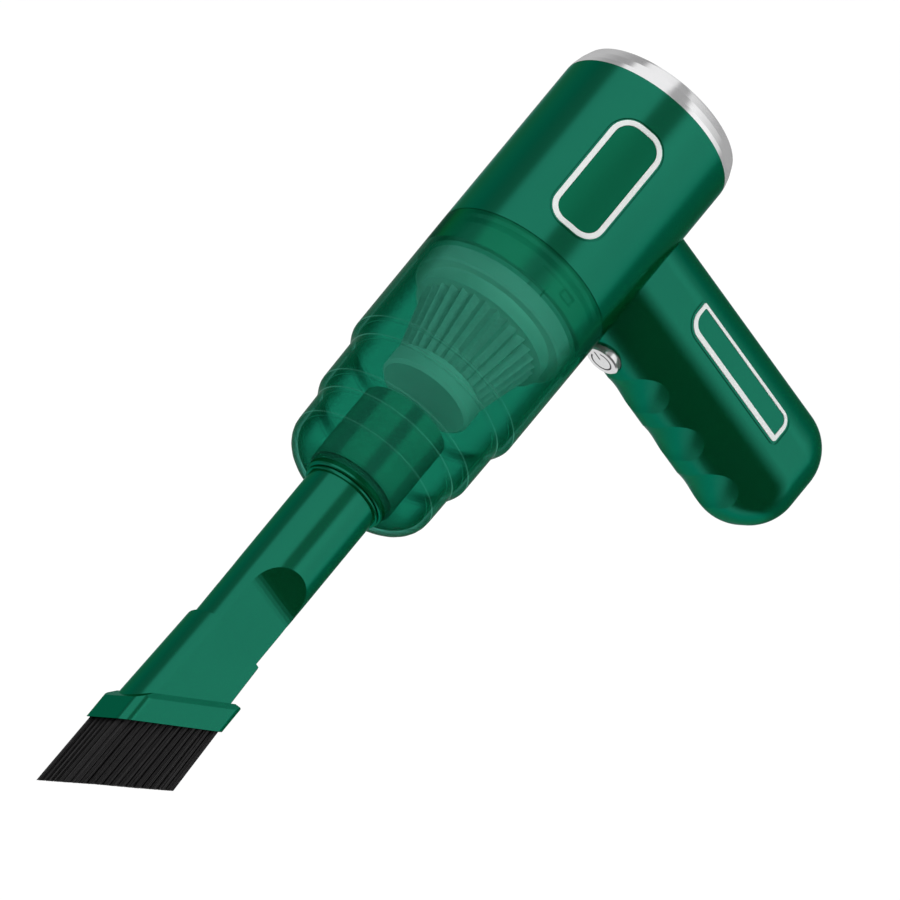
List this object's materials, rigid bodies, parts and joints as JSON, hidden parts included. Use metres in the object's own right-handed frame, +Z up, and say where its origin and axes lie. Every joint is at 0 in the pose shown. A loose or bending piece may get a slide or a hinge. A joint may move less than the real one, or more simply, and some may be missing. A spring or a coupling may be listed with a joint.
{
  "type": "handheld vacuum cleaner",
  "caption": "Cordless gun-shaped car vacuum with a glossy green barrel and grip, a stepped clear dust cup, a crevice nozzle and a slip-on brush.",
  "frame": {"origin": "under the middle of the whole part, level with the lower end of the handle", "axes": "+X forward along the barrel axis to the brush, +Y to the left of the user, +Z up from the handle to the barrel"},
  "size_m": [0.3296, 0.065, 0.1635],
  "materials": {
    "green_gloss": "gloss",
    "dark_green": "gloss",
    "clear_green": "clear tinted",
    "silver_trim": "satin",
    "chrome": "polished",
    "black_plastic": "matte",
    "black_rubber": "matte",
    "steel": "brushed",
    "copper": "satin",
    "magnet": "matte",
    "wire": "satin",
    "board": "satin",
    "cell": "satin",
    "white_plastic": "satin",
    "filter_media": "matte",
    "bristle": "matte"
  },
  "bodies": {
    "main_unit": {"barrel_shell": "green_gloss", "rear_ring": "chrome", "rear_grille": "black_plastic", "front_collar": "dark_green", "cup_seal": "black_rubber", "barrel_panel_left": "green_gloss", "barrel_panel_right": "green_gloss", "barrel_trim_left": "silver_trim", "barrel_trim_right": "silver_trim", "motor_can": "steel", "motor_magnets": "magnet", "motor_end_cap": "black_plastic", "motor_terminals": "copper", "motor_leads": "wire", "motor_mount_front": "black_plastic", "motor_mount_rear": "black_rubber", "fan_shroud": "black_plastic", "handle_shell": "green_gloss", "handle_inlay_left": "green_gloss", "handle_inlay_right": "green_gloss", "handle_trim_left": "silver_trim", "handle_trim_right": "silver_trim", "handle_bracket": "black_plastic", "handle_screws": "steel", "barrel_screws": "steel", "button_switch": "black_plastic", "switch_board": "board", "battery_cells": "cell", "cell_holder": "black_plastic", "cell_links": "steel", "charge_board": "board", "charge_socket": "steel", "filter_frame": "white_plastic", "filter_pleats": "filter_media", "filter_cap": "white_plastic"},
    "button": {"power_button": "chrome", "button_symbol": "black_plastic"},
    "rotor": {"motor_shaft": "steel", "motor_armature": "copper", "impeller": "white_plastic"},
    "cup": {"dust_cup": "clear_green", "inlet_tube": "dark_green"},
    "nozzle_ring": {"nozzle_seal": "black_rubber"},
    "nozzle": {"crevice_nozzle": "green_gloss"},
    "brush": {"brush_sleeve": "green_gloss", "brush_bristles": "bristle"}
  },
  "joints": [
    {"name": "button_press", "type": "slide", "parent": "main_unit", "child": "button", "axis": [-1, 0, 0], "range_m": [0, 0.0012], "stiffness_N_per_m": 900},
    {"name": "rotor_spin", "type": "hinge", "parent": "main_unit", "child": "rotor", "pos_m": [-0.10477, 0, 0.131], "axis": [1, 0, 0], "continuous": true},
    {"name": "cup_twist", "type": "hinge", "parent": "main_unit", "child": "cup", "pos_m": [-0.07977, 0, 0.131], "axis": [1, 0, 0], "range_deg": [0, 20]},
    {"name": "nozzle_turn", "type": "hinge", "parent": "cup", "child": "nozzle_ring", "pos_m": [0.00723, 0, 0.131], "axis": [1, 0, 0], "continuous": true},
    {"name": "nozzle_pull", "type": "slide", "parent": "nozzle_ring", "child": "nozzle", "axis": [1, 0, 0], "range_m": [0, 0.03]},
    {"name": "brush_pull", "type": "slide", "parent": "nozzle", "child": "brush", "axis": [1, 0, 0], "range_m": [0, 0.05]}
  ]
}
